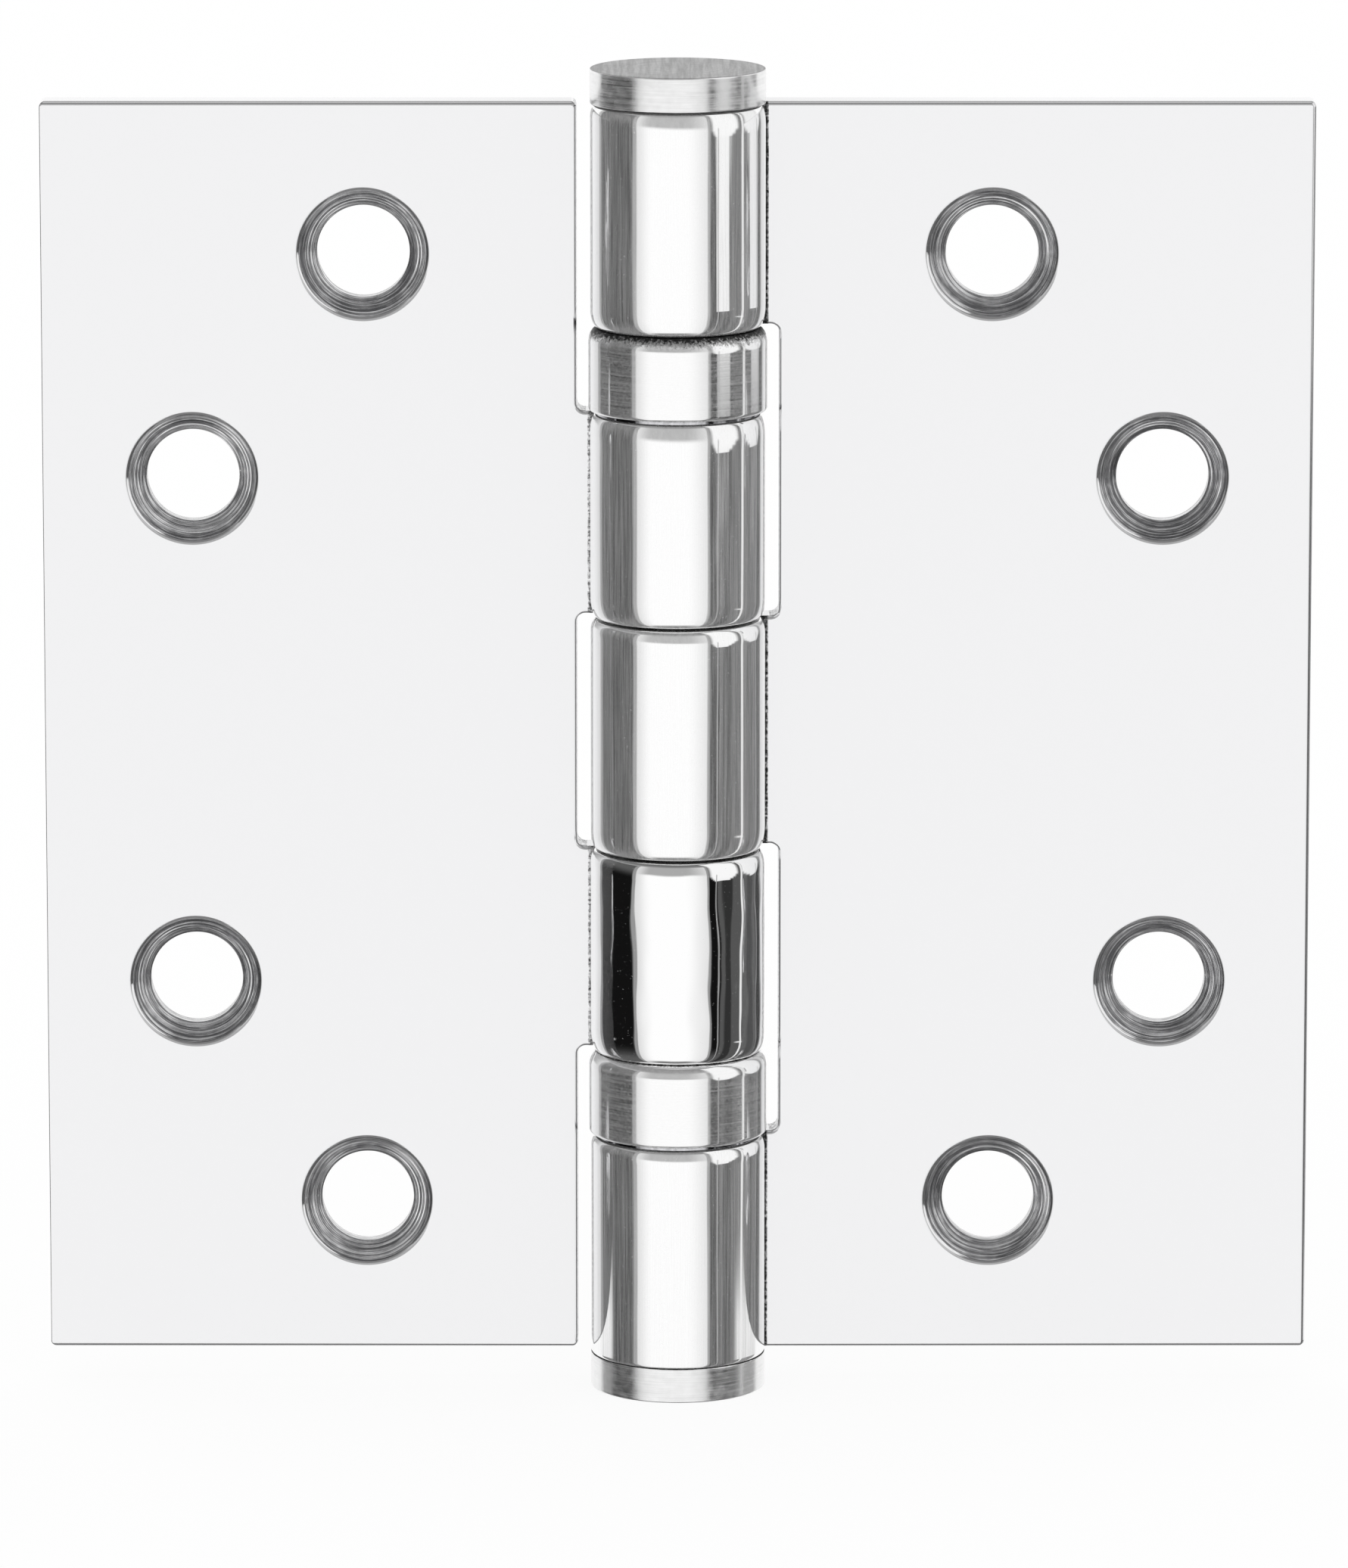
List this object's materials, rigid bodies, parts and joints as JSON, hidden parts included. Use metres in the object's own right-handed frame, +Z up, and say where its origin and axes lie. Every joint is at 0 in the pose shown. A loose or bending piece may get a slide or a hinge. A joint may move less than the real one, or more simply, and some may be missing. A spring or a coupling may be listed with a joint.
{
  "type": "ball bearing hinge",
  "caption": "Polished steel butt hinge with rolled knuckles, caged ball bearings in the barrel, flat button tips and countersunk screw holes; lets a door swing freely.",
  "frame": {"origin": "on the pin axis, at the middle of the hinge's height", "axes": "+Z up along the pin, +X towards the right leaf with the hinge open flat, -Y out of the countersunk faces"},
  "size_m": [0.1, 0.0142, 0.1054],
  "materials": {
    "polished_steel": "mirror polished",
    "satin_steel": "fine turned satin",
    "pin_steel": "ground",
    "bearing_steel": "ground and hardened",
    "cage_brass": "stamped"
  },
  "bodies": {
    "frame_leaf": {"right_leaf": "polished_steel", "hinge_pin": "pin_steel", "top_tip": "satin_steel", "bottom_tip": "satin_steel", "upper_bearing_housing": "polished_steel", "lower_bearing_race": "bearing_steel"},
    "door_leaf": {"left_leaf": "polished_steel", "upper_bearing_race": "bearing_steel", "lower_bearing_housing": "polished_steel"},
    "upper_balls": {"upper_bearing_cage": "cage_brass", "upper_bearing_ball_1": "bearing_steel", "upper_bearing_ball_2": "bearing_steel", "upper_bearing_ball_3": "bearing_steel", "upper_bearing_ball_4": "bearing_steel", "upper_bearing_ball_5": "bearing_steel", "upper_bearing_ball_6": "bearing_steel", "upper_bearing_ball_7": "bearing_steel", "upper_bearing_ball_8": "bearing_steel"},
    "lower_balls": {"lower_bearing_cage": "cage_brass", "lower_bearing_ball_1": "bearing_steel", "lower_bearing_ball_2": "bearing_steel", "lower_bearing_ball_3": "bearing_steel", "lower_bearing_ball_4": "bearing_steel", "lower_bearing_ball_5": "bearing_steel", "lower_bearing_ball_6": "bearing_steel", "lower_bearing_ball_7": "bearing_steel", "lower_bearing_ball_8": "bearing_steel"}
  },
  "joints": [
    {"name": "leaf_swing", "type": "hinge", "parent": "frame_leaf", "child": "door_leaf", "pos_m": [0, 0, 0], "axis": [0, 0, 1], "range_deg": [-125, 180]},
    {"name": "upper_cage_turn", "type": "hinge", "parent": "frame_leaf", "child": "upper_balls", "pos_m": [0, 0, 0], "axis": [0, 0, 1], "range_deg": [-65, 95]},
    {"name": "lower_cage_turn", "type": "hinge", "parent": "frame_leaf", "child": "lower_balls", "pos_m": [0, 0, 0], "axis": [0, 0, 1], "range_deg": [-65, 95]}
  ],
  "couplings": [
    {"joint": "upper_cage_turn", "follows": "leaf_swing", "ratio": 0.5},
    {"joint": "lower_cage_turn", "follows": "leaf_swing", "ratio": 0.5}
  ]
}
